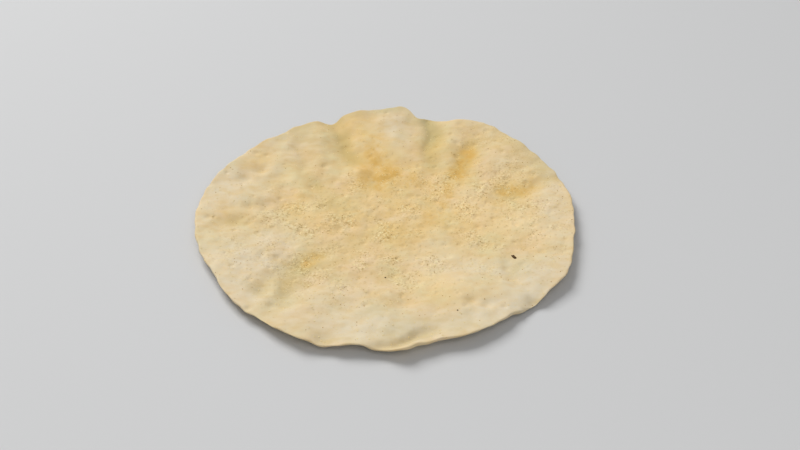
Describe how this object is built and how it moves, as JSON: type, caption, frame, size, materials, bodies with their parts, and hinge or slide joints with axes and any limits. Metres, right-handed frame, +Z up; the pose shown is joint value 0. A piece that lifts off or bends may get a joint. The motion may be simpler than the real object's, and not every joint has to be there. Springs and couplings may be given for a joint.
{
  "type": "chapati flatbread",
  "caption": "Thin round unleavened flatbread, hand rolled, pale and floury, lying slightly dished with soft radial folds.",
  "frame": {"origin": "middle of the bread's footprint, on the surface it lies on", "axes": "+Z up, out of the bread's upper face; +X to the right and +Y to the back, with the lobe between two notches at the back"},
  "size_m": [0.2294, 0.2258, 0.0091],
  "materials": {
    "baked_dough": "matte, floury"
  },
  "bodies": {
    "root": {"chapati": "baked_dough"}
  },
  "joints": []
}
